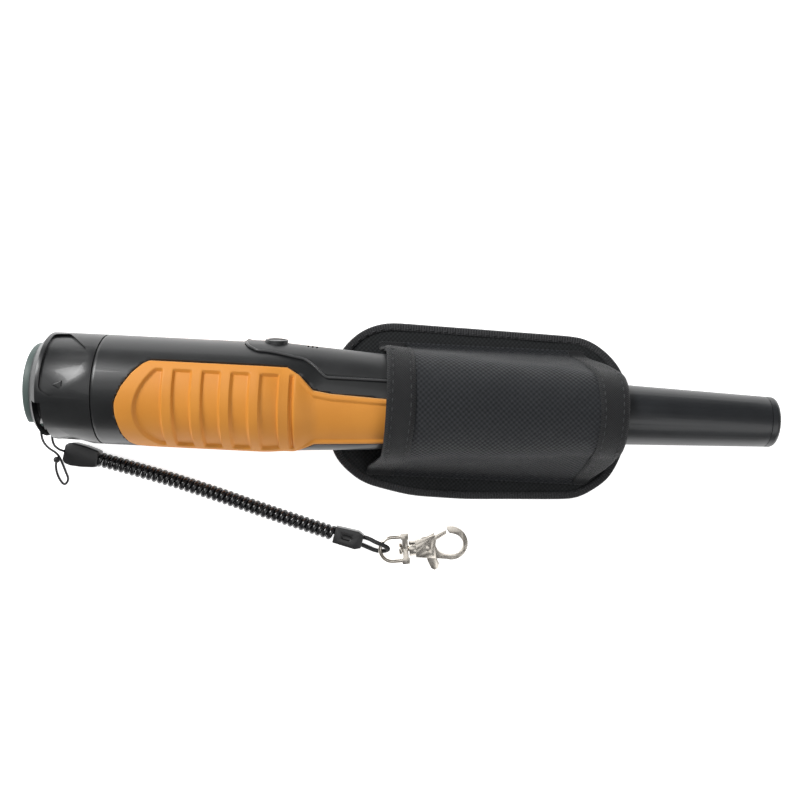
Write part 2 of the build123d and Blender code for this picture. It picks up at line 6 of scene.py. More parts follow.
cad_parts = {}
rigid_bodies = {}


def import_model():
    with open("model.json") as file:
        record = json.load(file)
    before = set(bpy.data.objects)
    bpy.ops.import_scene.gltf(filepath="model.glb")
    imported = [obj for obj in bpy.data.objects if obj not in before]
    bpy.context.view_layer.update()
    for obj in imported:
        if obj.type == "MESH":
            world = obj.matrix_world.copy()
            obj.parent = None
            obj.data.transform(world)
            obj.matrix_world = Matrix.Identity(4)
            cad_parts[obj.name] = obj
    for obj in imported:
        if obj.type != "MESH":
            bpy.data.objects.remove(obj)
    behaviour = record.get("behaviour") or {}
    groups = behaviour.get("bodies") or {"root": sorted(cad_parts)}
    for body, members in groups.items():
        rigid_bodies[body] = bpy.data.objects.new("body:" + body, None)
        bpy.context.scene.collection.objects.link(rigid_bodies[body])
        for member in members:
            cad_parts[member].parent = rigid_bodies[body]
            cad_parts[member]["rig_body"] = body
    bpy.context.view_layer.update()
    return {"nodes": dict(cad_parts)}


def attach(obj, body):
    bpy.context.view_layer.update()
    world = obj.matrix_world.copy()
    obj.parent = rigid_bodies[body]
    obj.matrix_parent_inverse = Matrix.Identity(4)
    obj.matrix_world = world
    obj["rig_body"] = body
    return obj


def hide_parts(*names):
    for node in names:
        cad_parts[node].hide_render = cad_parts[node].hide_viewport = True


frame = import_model()
mm = 0.001
weldDistance = 0.000004
nodes = frame["nodes"]


def clearSelection():
    for item in bpy.context.selected_objects:
        item.select_set(False)
    bpy.context.view_layer.objects.active = None


def choose(item):
    clearSelection()
    item.select_set(True)
    bpy.context.view_layer.objects.active = item


def step(low, high, value):
    share = min(1, max(0, (value - low) / (high - low)))
    return share * share * (3 - 2 * share)


def along(stations, value):
    if value <= stations[0][0]:
        return stations[0][1]
    for (a, sizeA), (b, sizeB) in zip(stations, stations[1:]):
        if value <= b:
            return sizeA + (sizeB - sizeA) * (value - a) / (b - a)
    return stations[-1][1]


def eased(stations, value, reach):
    shifts = (-1, -0.5, 0, 0.5, 1)
    return sum(along(stations, value + shift * reach) for shift in shifts) / len(shifts)


def finishMesh(item, angle=35):
    choose(item)
    bpy.ops.object.shade_smooth_by_angle(angle=radians(angle))
    clearSelection()


def sheetGrid(name, columns, rows, place, uv=None):
    clearSelection()
    bpy.ops.mesh.primitive_grid_add(x_subdivisions=columns, y_subdivisions=rows, size=2)
    item = bpy.context.object
    item.name = item.data.name = name
    mesh = item.data
    shares = [((v.co.x + 1) / 2, (v.co.y + 1) / 2) for v in mesh.vertices]
    for vertex, (u, v) in zip(mesh.vertices, shares):
        vertex.co = Vector(place(u, v)) * mm
    if uv:
        layer = mesh.uv_layers[0] if mesh.uv_layers else mesh.uv_layers.new(name="UVMap")
        for loop in mesh.loops:
            layer.data[loop.index].uv = uv(*shares[loop.vertex_index])
    finishMesh(item)
    return item


def thicken(item, thickness, offset=-1.0):
    choose(item)
    wall = item.modifiers.new("wall", "SOLIDIFY")
    wall.thickness = thickness * mm
    wall.offset = offset
    bpy.ops.object.modifier_apply(modifier=wall.name)
    clearSelection()
    return item


def outwardNormals(item, weld=True):
    choose(item)
    bpy.ops.object.mode_set(mode="EDIT")
    bpy.ops.mesh.select_all(action="SELECT")
    if weld:
        bpy.ops.mesh.remove_doubles(threshold=weldDistance)
    bpy.ops.mesh.normals_make_consistent(inside=False)
    bpy.ops.object.mode_set(mode="OBJECT")


def softened(nodeName, width, segments=3, angle=28):
    source = nodes[nodeName]
    copy = bpy.data.objects.new(nodeName + "Rounded", source.data.copy())
    bpy.context.scene.collection.objects.link(copy)
    choose(copy)
    bpy.ops.object.mode_set(mode="EDIT")
    bpy.ops.mesh.select_all(action="SELECT")
    bpy.ops.mesh.remove_doubles(threshold=weldDistance)
    bpy.ops.mesh.dissolve_limited(angle_limit=radians(0.6))
    bpy.ops.object.mode_set(mode="OBJECT")
    if copy.data.has_custom_normals:
        bpy.ops.mesh.customdata_custom_splitnormals_clear()
    bevel = copy.modifiers.new("edges", "BEVEL")
    bevel.width = width * mm
    bevel.segments = segments
    bevel.limit_method = "ANGLE"
    bevel.angle_limit = radians(angle)
    bevel.use_clamp_overlap = True
    bpy.ops.object.modifier_apply(modifier=bevel.name)
    finishMesh(copy, 32)
    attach(copy, source["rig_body"])
    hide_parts(nodeName)
    return copy


class Socket:

    def __init__(self, finish, link):
        self.finish, self.link = finish, link

    def combine(self, operation, other, swap=False):
        pair = [other, self] if swap else [self, other]
        return self.finish.node("ShaderNodeMath", {"operation": operation}, pair)

    def __add__(self, other):
        return self.combine("ADD", other)

    def __radd__(self, other):
        return self.combine("ADD", other, True)

    def __sub__(self, other):
        return self.combine("SUBTRACT", other)

    def __rsub__(self, other):
        return self.combine("SUBTRACT", other, True)

    def __mul__(self, other):
        return self.combine("MULTIPLY", other)

    def __rmul__(self, other):
        return self.combine("MULTIPLY", other, True)


class Finish:

    def __init__(self, name, colour, roughness, metallic=0.0, coat=0.0):
        self.material = bpy.data.materials.new(name)
        self.material.use_nodes = True
        self.tree = self.material.node_tree
        self.shader = self.tree.nodes["Principled BSDF"]
        self.shader.inputs["Base Color"].default_value = (*colour, 1)
        self.shader.inputs["Roughness"].default_value = roughness
        self.shader.inputs["Metallic"].default_value = metallic
        self.shader.inputs["Coat Weight"].default_value = coat
        self.material.diffuse_color = (*colour, 1)

    def node(self, kind, settings=None, values=(), output=0):
        made = self.tree.nodes.new(kind)
        for key, value in (settings or {}).items():
            setattr(made, key, value)
        entries = values.items() if isinstance(values, dict) else enumerate(values)
        for key, value in entries:
            if isinstance(value, Socket):
                self.tree.links.new(value.link, made.inputs[key])
            else:
                made.inputs[key].default_value = value
        return Socket(self, made.outputs[output])

    def feed(self, name, value):
        self.tree.links.new(value.link, self.shader.inputs[name])

    def place(self):
        return self.node("ShaderNodeTexCoord", output="Object")

    def uvParts(self):
        uv = self.node("ShaderNodeTexCoord", output="UV")
        split = self.node("ShaderNodeSeparateXYZ", values=[uv])
        return split, Socket(self, split.link.node.outputs[1])

    def sine(self, value):
        return self.node("ShaderNodeMath", {"operation": "SINE"}, [value])

    def noise(self, scale, detail=3.0, vector=None):
        values = {"Vector": vector or self.place(), "Scale": scale, "Detail": detail}
        return self.node("ShaderNodeTexNoise", values=values)

    def tint(self, factor, colourA, colourB):
        return self.node("ShaderNodeMix", {"data_type": "RGBA"},
                         {0: factor, 6: (*colourA, 1), 7: (*colourB, 1)}, output=2)

    def bump(self, height, strength, distance):
        made = self.node("ShaderNodeBump", values={"Strength": strength, "Distance": distance, "Height": height})
        self.feed("Normal", made)


def moulded(name, dark, light, roughness, grain=2600, strength=0.12, coat=0.0, blotch=90):
    finish = Finish(name, dark, roughness, coat=coat)
    cloud = finish.noise(blotch, 4)
    finish.feed("Base Color", finish.tint(cloud, dark, light))
    finish.feed("Roughness", cloud * 0.16 + (roughness - 0.08))
    finish.bump(finish.noise(grain, 2), strength, 0.00012)
    return finish.material


blackPlastic = moulded("blackPlastic", (0.007, 0.0075, 0.008), (0.015, 0.016, 0.017), 0.38, coat=0.1)
capPlastic = moulded("capPlastic", (0.008, 0.0085, 0.009), (0.018, 0.019, 0.020), 0.35, coat=0.12)
panelPlastic = moulded("panelPlastic", (0.009, 0.0095, 0.010), (0.020, 0.021, 0.022), 0.42)
tubePlastic = moulded("tubePlastic", (0.009, 0.010, 0.0115), (0.019, 0.021, 0.024), 0.40, coat=0.1)
buttonPlastic = moulded("buttonPlastic", (0.009, 0.0095, 0.010), (0.020, 0.021, 0.022), 0.36)
discPlastic = moulded("discPlastic", (0.060, 0.085, 0.080), (0.09, 0.125, 0.115), 0.5)
sealRubber = moulded("sealRubber", (0.01, 0.01, 0.01), (0.02, 0.02, 0.02), 0.7)
innerPlastic = moulded("innerPlastic", (0.03, 0.03, 0.033), (0.06, 0.06, 0.063), 0.5)
boardGreen = moulded("boardGreen", (0.005, 0.07, 0.025), (0.01, 0.12, 0.04), 0.35, grain=900)
cellJacket = moulded("cellJacket", (0.05, 0.05, 0.055), (0.09, 0.09, 0.095), 0.35, grain=500)
wireRed = moulded("wireRed", (0.3, 0.01, 0.01), (0.45, 0.02, 0.02), 0.4)
ferriteGrey = moulded("ferriteGrey", (0.02, 0.02, 0.022), (0.04, 0.04, 0.043), 0.65, grain=1500, strength=0.3)
sleevePlastic = moulded("sleevePlastic", (0.008, 0.008, 0.009), (0.018, 0.018, 0.019), 0.38, coat=0.1)


def rubberFinish():
    finish = Finish("orangeRubber", (0.72, 0.27, 0.045), 0.62)
    cloud = finish.noise(60, 5)
    base = finish.tint(cloud, (0.62, 0.225, 0.022), (0.80, 0.33, 0.045))
    # Painted highlight: the "rim" attribute mixes the orange towards a pale tone along the pad edges, standing in for
    # light caught on the rounded rubber edge.
    edge = finish.node("ShaderNodeAttribute", {"attribute_name": "rim"}, output="Fac")
    paintedRimHighlight = finish.node("ShaderNodeMix", {"data_type": "RGBA"}, {0: edge, 6: base, 7: (0.86, 0.50, 0.22, 1)}, output=2)
    finish.feed("Base Color", paintedRimHighlight)
    finish.feed("Roughness", cloud * 0.2 + 0.5)
    finish.bump(finish.noise(3200, 2), 0.22, 0.0001)
    return finish.material


def metalFinish(name, dark, light, roughness):
    finish = Finish(name, light, roughness, metallic=1.0)
    cloud = finish.noise(420, 4)
    finish.feed("Base Color", finish.tint(cloud, dark, light))
    finish.feed("Roughness", cloud * 0.22 + (roughness - 0.08))
    finish.bump(finish.noise(1400, 3), 0.12, 0.0001)
    return finish.material


def wovenFinish(name, dark, light, period, roughness=0.72, strength=0.9):
    finish = Finish(name, dark, roughness)
    u, v = finish.uvParts()
    turn = 2 * pi / period
    weave = finish.sine(u * turn) * finish.sine(v * turn)
    yarn = finish.sine((u + v) * (turn * 4)) * 0.2
    height = weave * 0.5 + 0.5 + yarn
    fuzz = finish.noise(500, 4)
    # Painted shade and highlight: the colour follows the weave height, darker in the hollows between yarns and
    # lighter on the raised yarns; the fuzz noise adds random tone.
    finish.feed("Base Color", finish.tint(height * 0.7 + fuzz * 0.3, dark, light))
    finish.feed("Roughness", 0.9 - height * 0.25)
    finish.bump(height + fuzz * 0.4, strength, 0.00028)
    finish.shader.inputs["Sheen Weight"].default_value = 0.12
    finish.shader.inputs["Sheen Roughness"].default_value = 0.4
    return finish.material


def ribbedFinish(name, dark, light, period):
    finish = Finish(name, dark, 0.7)
    u, v = finish.uvParts()
    ribs = finish.sine(u * (2 * pi / period)) * 0.5 + 0.5
    fuzz = finish.noise(900, 3)
    # Painted shade and highlight: the colour follows the rib height, darker in the grooves and lighter on the rib
    # crests; the fuzz noise adds random tone.
    finish.feed("Base Color", finish.tint(ribs * 0.6 + fuzz * 0.4, dark, light))
    finish.bump(ribs + fuzz * 0.5, 0.7, 0.00022)
    finish.shader.inputs["Sheen Weight"].default_value = 0.1
    return finish.material


orangeRubber = rubberFinish()
# Painted highlight: a lighter copy of the black plastic for the lip along the control panel's edge, standing in for
# light caught on that ledge.
lipPlasticPaintedHighlight = moulded("lipPlasticPaintedHighlight", (0.03, 0.031, 0.032), (0.05, 0.051, 0.053), 0.3)
nickel = metalFinish("nickel", (0.42, 0.38, 0.33), (0.72, 0.68, 0.62), 0.22)
steelPlain = metalFinish("steelPlain", (0.35, 0.35, 0.36), (0.6, 0.6, 0.61), 0.35)
copperWire = metalFinish("copperWire", (0.45, 0.16, 0.06), (0.75, 0.32, 0.14), 0.35)
pocketNylon = wovenFinish("pocketNylon", (0.003, 0.004, 0.005), (0.018, 0.021, 0.026), 1.7)
backNylon = wovenFinish("backNylon", (0.003, 0.004, 0.004), (0.014, 0.016, 0.018), 1.5, strength=0.6)
hemNylon = wovenFinish("hemNylon", (0.003, 0.0035, 0.004), (0.013, 0.014, 0.016), 0.8, strength=0.6)
tapeBlack = ribbedFinish("tapeBlack", (0.004, 0.004, 0.005), (0.030, 0.031, 0.034), 0.9)
strapWeb = ribbedFinish("strapWeb", (0.005, 0.005, 0.006), (0.025, 0.026, 0.028), 1.2)
threadBlack = moulded("threadBlack", (0.012, 0.012, 0.014), (0.05, 0.052, 0.056), 0.6, grain=5000, strength=0.4)
stringBlack = moulded("stringBlack", (0.006, 0.006, 0.007), (0.022, 0.022, 0.024), 0.6, grain=4200, strength=0.5)
curlBlack = moulded("curlBlack", (0.006, 0.006, 0.007), (0.014, 0.014, 0.016), 0.22, grain=1800, strength=0.06,
                    coat=0.4)
print("finishes ready")

finishByNode = {
    "handle_shell": blackPlastic, "control_panel": panelPlastic, "tail_cap": capPlastic, "tip_cap": tubePlastic,
    "probe_tube": tubePlastic, "grip_near": orangeRubber, "grip_far": orangeRubber, "power_button": buttonPlastic,
    "cap_end_disc": discPlastic, "cap_seal": sealRubber, "cap_pad": sealRubber, "tact_switch": innerPlastic,
    "board_parts": innerPlastic, "coil_bobbin": innerPlastic, "battery_snap": innerPlastic, "speaker": innerPlastic,
    "circuit_board": boardGreen, "board_screws": steelPlain, "vibration_motor": steelPlain,
    "motor_weight": steelPlain, "gate_pin": nickel, "battery": cellJacket, "battery_leads": wireRed,
    "coil_leads": wireRed, "ferrite_rod": ferriteGrey, "transmit_winding": copperWire,
    "receive_windings": copperWire, "holster_back": backNylon, "holster_pocket": pocketNylon,
    "mouth_hem": pocketNylon, "tip_hem": pocketNylon, "holster_binding": tapeBlack, "belt_loop": strapWeb,
    "lanyard_string": stringBlack, "string_knot": stringBlack, "clip_loop_cord": stringBlack,
    "curly_cord": curlBlack, "sleeve_string_end": sleevePlastic, "sleeve_clip_end": sleevePlastic,
    "swivel_ring": nickel, "swivel_post": nickel, "clip_body": nickel, "gate": nickel,
}
for nodeName, material in finishByNode.items():
    nodes[nodeName].data.materials.clear()
    nodes[nodeName].data.materials.append(material)


def dress(item, material, body=None, replaced=()):
    item.data.materials.clear()
    item.data.materials.append(material)
    if body:
        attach(item, body)
    if replaced:
        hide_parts(*replaced)
    return item


view = {"height": 331.0, "across": 1.19, "turn": 2.84, "lens": 42.75}
bpy.ops.object.camera_add(location=(0, view["across"] * mm, view["height"] * mm),
                          rotation=(0, 0, radians(view["turn"])))
camera = bpy.context.object
camera.data.lens = view["lens"]
camera.data.sensor_width = 36
camera.data.clip_start = 0.01
bpy.context.scene.camera = camera
studio = bpy.data.worlds.new("studio")
bpy.context.scene.world = studio
studio.use_nodes = True
studio.node_tree.nodes["Background"].inputs[0].default_value = (1, 1, 1, 1)
studio.node_tree.nodes["Background"].inputs[1].default_value = 0.17
bpy.context.scene.view_settings.view_transform = "Standard"
for name, place, size, power in [("softKey", (-0.7, 0.6, 0.75), 0.5, 13), ("softFill", (0.6, -0.5, 0.8), 0.7, 3),
                                 ("softTop", (-0.1, 0.1, 1.1), 0.6, 1.5)]:
    bpy.ops.object.light_add(type="AREA", location=place)
    lamp = bpy.context.object
    lamp.name = name
    lamp.data.size = size
    lamp.data.energy = power
    lamp.rotation_euler = (-Vector(place)).to_track_quat("-Z", "Y").to_euler()
clearSelection()
bpy.ops.mesh.primitive_grid_add(x_subdivisions=8, y_subdivisions=8, size=6, location=(0, 0, -0.0004))
floor = bpy.context.object
floor.name = "floor"
floorFinish = Finish("paleFloor", (0.93, 0.93, 0.93), 0.9)
floorFinish.shader.inputs["Emission Color"].default_value = (1, 1, 1, 1)
floorFinish.shader.inputs["Emission Strength"].default_value = 0.85
dress(floor, floorFinish.material)
print("camera, floor and light ready")

cordSizes = {"string": 0.8, "curl": 5.4, "strand": 1.86, "pitch": 1.98, "loop": 1.5}
stringPoints = [
    (-114.2, -22.3, 3.2), (-114.9, -21.6, 7.0), (-114.2, -20.6, 12.0), (-113.7, -19.4, 16.5),
    (-113.7, -17.0, 18.6), (-113.7, -13.2, 18.8), (-117.5, -13.2, 18.6), (-117.5, -16.6, 17.8),
    (-118.0, -19.0, 14.0), (-118.4, -21.2, 8.0), (-117.6, -23.0, 2.4), (-116.6, -25.6, 0.5), (-115.0, -29.4, 0.5),
    (-113.6, -32.2, 0.5), (-115.2, -34.4, 0.5), (-117.4, -31.6, 0.5), (-118.6, -28.0, 0.5),
    (-118.2, -26.2, 0.9)]
curlPoints = [(-102.4, -24.4, 2.8), (-83.0, -28.6, 2.8), (-62.0, -34.2, 2.8), (-41.0, -40.4, 2.8),
              (-20.4, -46.0, 2.8)]
loopPoints = [
    (-13.8, -46.3, 2.7), (-11.2, -46.6, 2.9), (-8.6, -46.9, 3.4), (-5.6, -48.2, 4.5), (-2.6, -49.2, 4.2),
    (-1.2, -50.4, 2.9), (-2.6, -51.4, 1.2), (-5.6, -51.6, 0.8), (-9.0, -50.2, 1.4), (-11.4, -49.2, 2.4),
    (-14.2, -48.6, 2.7)]


def routeCurve(name, points, diameter=0.0):
    curve = bpy.data.curves.new(name, "CURVE")
    curve.dimensions = "3D"
    spline = curve.splines.new("NURBS")
    spline.points.add(len(points) - 1)
    for point, place in zip(spline.points, points):
        point.co = (*[c * mm for c in place], 1)
    spline.order_u = 3
    spline.use_endpoint_u = True
    spline.resolution_u = 10
    curve.bevel_depth = diameter / 2 * mm
    curve.bevel_resolution = 3
    curve.use_fill_caps = True
    item = bpy.data.objects.new(name, curve)
    bpy.context.scene.collection.objects.link(item)
    return item


def readRoute(points):
    probe = routeCurve("routeReader", points)
    mesh = bpy.data.meshes.new_from_object(probe)
    line = [v.co.copy() for v in mesh.vertices]
    bpy.data.objects.remove(probe)
    lengths = [0.0]
    for a, b in zip(line, line[1:]):
        lengths.append(lengths[-1] + (b - a).length)
    return line, lengths


def onRoute(line, lengths, distance):
    for k in range(1, len(line)):
        if lengths[k] >= distance or k == len(line) - 1:
            share = (distance - lengths[k - 1]) / max(1e-9, lengths[k] - lengths[k - 1])
            return line[k - 1].lerp(line[k], min(1, share)), (line[k] - line[k - 1]).normalized()


stringCurve = routeCurve("stringLine", stringPoints, cordSizes["string"])
dress(stringCurve, stringBlack, "lanyard", ["lanyard_string"])
loopCurve = routeCurve("clipLoop", loopPoints, cordSizes["loop"])
dress(loopCurve, stringBlack, "lanyard", ["clip_loop_cord"])
routeLine, routeLengths = readRoute(curlPoints)
coilRadius = (cordSizes["curl"] - cordSizes["strand"]) / 2
turns = routeLengths[-1] / mm / cordSizes["pitch"]
stepsPerTurn = 14
coilPoints = []
for k in range(int(turns * stepsPerTurn) + 1):
    place, heading = onRoute(routeLine, routeLengths, routeLengths[-1] * k / (turns * stepsPerTurn))
    acrossWay = heading.cross(Vector((0, 0, 1))).normalized()
    upWay = acrossWay.cross(heading)
    angle = 2 * pi * k / stepsPerTurn
    coilPoints.append((place + (acrossWay * cos(angle) + upWay * sin(angle)) * coilRadius * mm) / mm)
curlCurve = routeCurve("curlyStrand", coilPoints, cordSizes["strand"])
curlCurve.data.splines[0].resolution_u = 2
dress(curlCurve, curlBlack, "lanyard", ["curly_cord"])
stringLength = readRoute(stringPoints)[1][-1]
loopLength = readRoute(loopPoints)[1][-1]

bodyShape = {
    "axis": 18.0, "roll": 10.0, "seam": -96.5, "neckEnd": 34.0, "padDepth": 1.0,
    "height": [(-96.5, 18), (-42, 18), (-37, 17.5), (-28, 16.9), (-5, 15.4), (15, 13.8), (34, 12.2)],
    "width": [(-96.5, 18), (-42, 18), (-37, 16.0), (-28, 13.7), (-5, 13.4), (15, 12.9), (34, 12.2)],
}
roll = radians(bodyShape["roll"])
nearWay = Vector((0, -sin(roll), cos(roll)))
upProbe = Vector((0, cos(roll), sin(roll)))


def onProbe(x, phi, lift, side=1):
    high = eased(bodyShape["height"], x, 3)
    wide = eased(bodyShape["width"], x, 3)
    turn = radians(phi)
    nearPart, downPart = wide * cos(turn), high * sin(turn)
    normal = Vector((high * cos(turn), wide * sin(turn))).normalized()
    nearPart += normal.x * lift
    downPart += normal.y * lift
    return Vector((x, 0, bodyShape["axis"])) + nearWay * (nearPart * side) - upProbe * downPart


gripShape = {
    "top": [(-89.2, 9), (-88.8, 0), (-87, -14), (-84, -29), (-81, -40), (-79, -44), (-36, -44), (-32, -35),
            (-27.5, -18.6), (-22, -16), (-5, -14), (10, -14)],
    "bottom": [(-89.2, 9), (-88.8, 18), (-87.5, 42), (-86, 58), (-84, 67), (-81, 70), (-34, 70), (-30, 60),
               (-27, 52), (-5, 51), (10, 51)],
    "start": -89.2, "end": 10.0, "rimLift": 0.32, "dish": 1.05, "ribStart": -72.7, "ribPitch": 9.05, "ribWidth": 3.8,
    "ribs": 5, "recessEnd": -33.6, "recessTop": -33, "recessBottom": 58,
}


def insideGrip(x, phi):
    reach = 18 * pi / 180
    top, bottom = along(gripShape["top"], x), along(gripShape["bottom"], x)
    return min((phi - top) * reach, (bottom - phi) * reach, (x - gripShape["start"]) * 1.5, gripShape["end"] - x)


panelEdge = [(-51, 0), (-50.4, 4.0), (-49, 6.2), (-46, 8.2), (-31, 8.2), (-28, 9.4), (-24, 11.4), (14, 10.4)]


def skinPoint(u, v):
    x = bodyShape["seam"] + (bodyShape["neckEnd"] - bodyShape["seam"]) * u
    phi = 180 - 360 * v
    mirrored = phi if -90 <= phi <= 90 else (180 - phi if phi > 0 else -180 - phi)
    lift = -bodyShape["padDepth"] * step(-0.1, 0.25, insideGrip(x, mirrored))
    fromTop = 18 * radians(90 + mirrored)
    if -51 < x < 14:
        lift = min(lift, -bodyShape["padDepth"] * step(-0.1, 0.25, along(panelEdge, x) - fromTop))
    end = step(0.0, 0.5, x - bodyShape["seam"]) * 0.35 - 0.35
    return onProbe(x, phi, lift + end)


handleSkin = sheetGrid("handleSkin", 220, 200, skinPoint)
outwardNormals(handleSkin)
thicken(handleSkin, 1.2)
finishMesh(handleSkin)
dress(handleSkin, blackPlastic, "probe", ["handle_shell"])


def ribLift(x):
    nearest = round((x - gripShape["ribStart"]) / gripShape["ribPitch"])
    nearest = min(gripShape["ribs"] - 1, max(0, nearest))
    away = abs(x - gripShape["ribStart"] - nearest * gripShape["ribPitch"])
    return 1 - step(gripShape["ribWidth"] / 2 - 0.55, gripShape["ribWidth"] / 2 + 0.35, away)


def gripLift(x, phi, edge):
    arcStart = -83 + 6.5 * ((phi - 11) / 45) ** 2
    floorMask = (step(-0.5, 0.6, x - arcStart) * step(-0.5, 0.6, gripShape["recessEnd"] - x)
                 * step(-0.2, 0.2, (phi - gripShape["recessTop"]) * 0.12)
                 * step(-0.2, 0.2, (gripShape["recessBottom"] - phi) * 0.12))
    lift = gripShape["rimLift"] - gripShape["dish"] * floorMask * (1 - ribLift(x))
    crest = step(-38, -33, x) * (1 - step(-33, -27, x)) * 0.3
    strip = step(-31, -25, x + 0.06 * abs(phi - 15)) * step(1.6, 3.0, edge) * -0.65
    roundOff = 1 - step(0, 0.9, edge)
    return lift + crest + strip - roundOff * 0.7 - (1.1 if edge < 0.001 else 0)


def makeGrip(name, node, side):
    def place(u, v):
        x = gripShape["start"] + (gripShape["end"] - gripShape["start"]) * (u ** 1.15)
        top, bottom = along(gripShape["top"], x), along(gripShape["bottom"], x)
        phi = bottom + (top - bottom) * v if side > 0 else top + (bottom - top) * v
        edge = 0 if u in (0, 1) or v in (0, 1) else max(0, insideGrip(x, phi))
        return onProbe(x, phi, gripLift(x, phi, edge), side)

    pad = sheetGrid(name, 300, 130, place)
    # Painted highlight mask: "rim" is high near the pad outline, where the rounded rubber edge catches light, and
    # zero inside.
    rim = pad.data.attributes.new("rim", "FLOAT", "POINT")
    for vertex, point in zip(rim.data, pad.data.vertices):
        local = point.co / mm - Vector((0, 0, bodyShape["axis"]))
        high, wide = eased(bodyShape["height"], local.x, 3), eased(bodyShape["width"], local.x, 3)
        phi = degrees(atan2(-local.dot(upProbe) / high, local.dot(nearWay) * side / wide))
        vertex.value = (1 - step(0.1, 0.75, insideGrip(local.x, phi))) * 0.8
    thicken(pad, 0.5)
    finishMesh(pad, 50)
    dress(pad, orangeRubber, "probe", [node])
    return pad


def panelLip(side):
    points = []
    for k in range(121):
        x = -50.6 + 64.4 * (k / 120) ** 1.6
        half = eased(panelEdge, x, 0.8)
        wide = eased(bodyShape["width"], x, 3)
        phi = -degrees(acos(min(1, half / wide)))
        points.append(onProbe(x, phi, 0.42, side))
    lip = routeCurve("panelLip", points, 0.9)
    lip.data.bevel_resolution = 2
    choose(lip)
    bpy.ops.object.convert(target="MESH")
    lip = bpy.context.object
    finishMesh(lip, 60)
    # The lip gets the lighter finish: a painted highlight on the panel edge.
    dress(lip, lipPlasticPaintedHighlight, "probe")


panelLip(1)
panelLip(-1)
makeGrip("gripNearPad", "grip_near", 1)
makeGrip("gripFarPad", "grip_far", -1)
print("handle and grips ready")

for nodeName, width in [("tail_cap", 0.35), ("cap_end_disc", 0.3), ("control_panel", 0.25), ("power_button", 0.3),
                        ("probe_tube", 0.2), ("sleeve_string_end", 0.55), ("sleeve_clip_end", 0.5),
                        ("clip_body", 0.4), ("gate", 0.4), ("swivel_ring", 0.3), ("swivel_post", 0.35),
                        ("gate_pin", 0.15), ("belt_loop", 0.3)]:
    copy = softened(nodeName, width)
print("hard pieces ready")

arrow = {"x": -106.6, "angle": -2, "half": 1.9, "rise": 0.35}


def capPoint(x, angle, radius):
    turn = radians(angle)
    return Vector((x, -radius * sin(turn), bodyShape["axis"] + radius * cos(turn)))


clearSelection()
bpy.ops.mesh.primitive_cone_add(vertices=3, radius1=1.0, radius2=0.78, depth=1.0)
arrowMark = bpy.context.object
arrowMark.name = arrowMark.data.name = "capArrow"
for vertex in arrowMark.data.vertices:
    x = arrow["x"] - vertex.co.y * arrow["half"] * 1.2
    angle = arrow["angle"] + degrees(vertex.co.x * arrow["half"] / 17.1)
    vertex.co = capPoint(x, angle, 17.0 + (vertex.co.z + 0.5) * arrow["rise"]) * mm
outwardNormals(arrowMark, weld=False)
bevel = arrowMark.modifiers.new("edges", "BEVEL")
bevel.width = 0.12 * mm
bevel.segments = 3
bpy.ops.object.modifier_apply(modifier="edges")
finishMesh(arrowMark)
dress(arrowMark, capPlastic, "cap")

holster = {
    "backLow": 1.6, "backTop": 3.6, "middle": -1.9, "footHalf": 20.4, "flange": 2.4, "arc": 84.0,
    "room": [(-12, 15.4), (64, 12.4), (74, 11.8)], "roomHalf": [(-12, 17.4), (64, 12.8), (74, 12.0)],
    "mouth": [(0, -7.8), (0.2, -5.0), (0.35, -3.8), (0.5, -3.4), (0.65, -3.8), (0.8, -5.2), (1, -10.3)],
    "mouthHem": [(0, 0.6), (0.2, 3.0), (0.5, 4.9), (0.8, 3.0), (1, -1.3)],
    "tip": [(0, 60.5), (0.1, 66.0), (0.22, 70.5), (0.35, 71.8), (0.65, 71.8), (0.8, 70.8), (0.92, 68.0), (1, 63.8)],
    "tipHem": [(0, 56.0), (0.1, 59.9), (0.3, 62.9), (0.5, 64.0), (0.8, 63.4), (1, 60.4)],
    "cloth": 1.0, "hemCloth": 0.8, "pocketOut": 0.35, "hemOut": 1.45, "hemStitchOut": 2.3, "footStitchOut": 1.5,
    "outline": [(-23.4, 12.0), (-20.5, 18.6), (-14.4, 24.7), (-6.5, 27.7), (62.4, 25.9), (69.0, 22.3), (75.0, 16.6),
                (78.0, 10.4), (78.4, 0.0), (78.0, -12.2), (73.3, -22.6), (62.9, -29.9), (23.3, -31.8), (5.4, -31.5),
                (-11.5, -28.1), (-19.2, -22.3), (-22.7, -17.8), (-24.2, -8.0)],
}


def archLine(x, grow):
    high = along(holster["room"], x) + grow
    half = along(holster["roomHalf"], x) + grow
    points = []
    middle, foot, low, flange = (holster[k] for k in ("middle", "footHalf", "backTop", "flange"))
    points.append((middle - foot - flange, low - 0.2 + grow))
    points.append((middle - foot - 1.2, low - 0.2 + grow))
    points.append((middle - foot + 0.4, low + 0.7 + grow))
    for angle in range(170, 9, -8):
        turn = radians(angle)
        points.append((half * cos(turn), bodyShape["axis"] + high * sin(turn)))
    points.append((middle + foot - 0.4, low + 0.7 + grow))
    points.append((middle + foot + 1.2, low - 0.2 + grow))
    points.append((middle + foot + flange, low - 0.2 + grow))
    return points


def resampled(points, count):
    lengths = [0.0]
    for a, b in zip(points, points[1:]):
        lengths.append(lengths[-1] + sqrt((b[0] - a[0]) ** 2 + (b[1] - a[1]) ** 2))
    result, k = [], 1
    for n in range(count + 1):
        distance = lengths[-1] * n / count
        while k < len(points) - 1 and lengths[k] < distance:
            k += 1
        share = (distance - lengths[k - 1]) / max(1e-9, lengths[k] - lengths[k - 1])
        a, b = points[k - 1], points[k]
        result.append((a[0] + (b[0] - a[0]) * share, a[1] + (b[1] - a[1]) * share))
    return result


